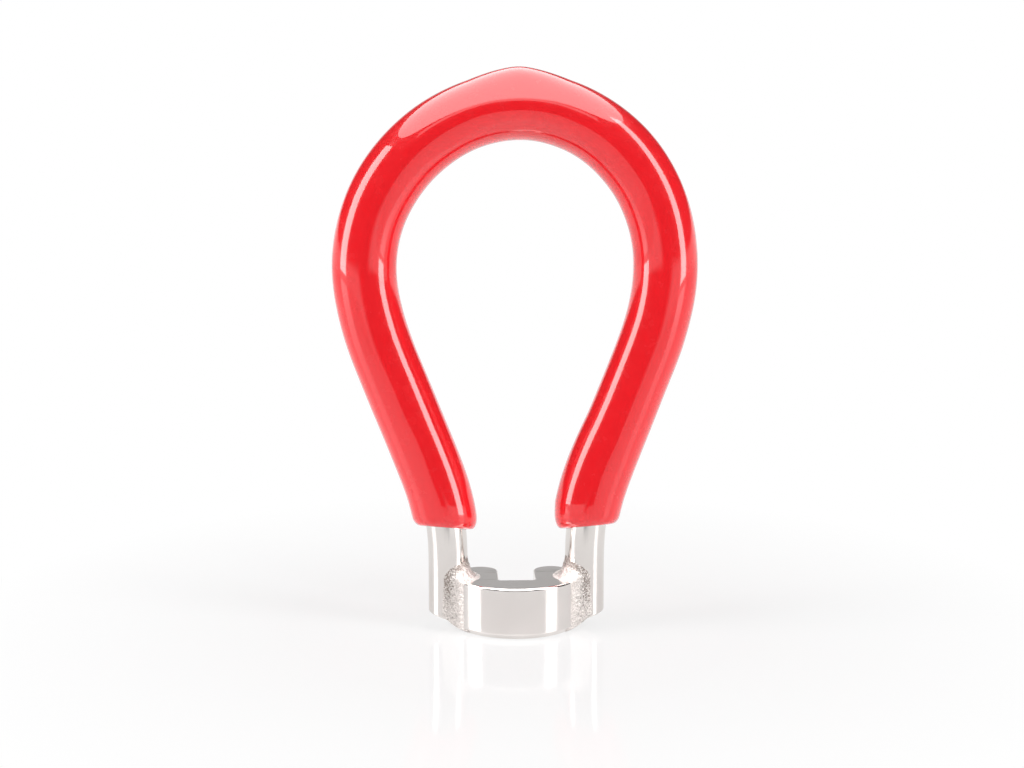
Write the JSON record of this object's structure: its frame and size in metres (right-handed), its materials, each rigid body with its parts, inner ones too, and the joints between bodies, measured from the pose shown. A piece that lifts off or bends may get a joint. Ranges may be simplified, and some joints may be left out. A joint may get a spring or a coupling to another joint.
{
  "type": "spoke wrench",
  "caption": "Spoke wrench: a small steel head with a square slot, brazed between the ends of a teardrop loop of round rod dipped in soft vinyl.",
  "frame": {"origin": "on the axis of the nipple that the slot holds, in the plane of the head's foot", "axes": "+Z along the nipple, from the head up to the loop's crown; +Y out of the slot's mouth; +X to the right, seen from the head's nose"},
  "size_m": [0.0352, 0.0129, 0.0537],
  "materials": {
    "head_steel": "satin nickel plate over milled steel",
    "rod_plate": "bright nickel plate over drawn steel rod",
    "braze": "grainy plated braze",
    "red_vinyl": "glossy dipped soft vinyl"
  },
  "bodies": {
    "root": {"wrench_head": "head_steel", "rod_loop": "rod_plate", "vinyl_grip": "red_vinyl", "left_braze_fillet": "braze", "right_braze_fillet": "braze"}
  },
  "joints": []
}
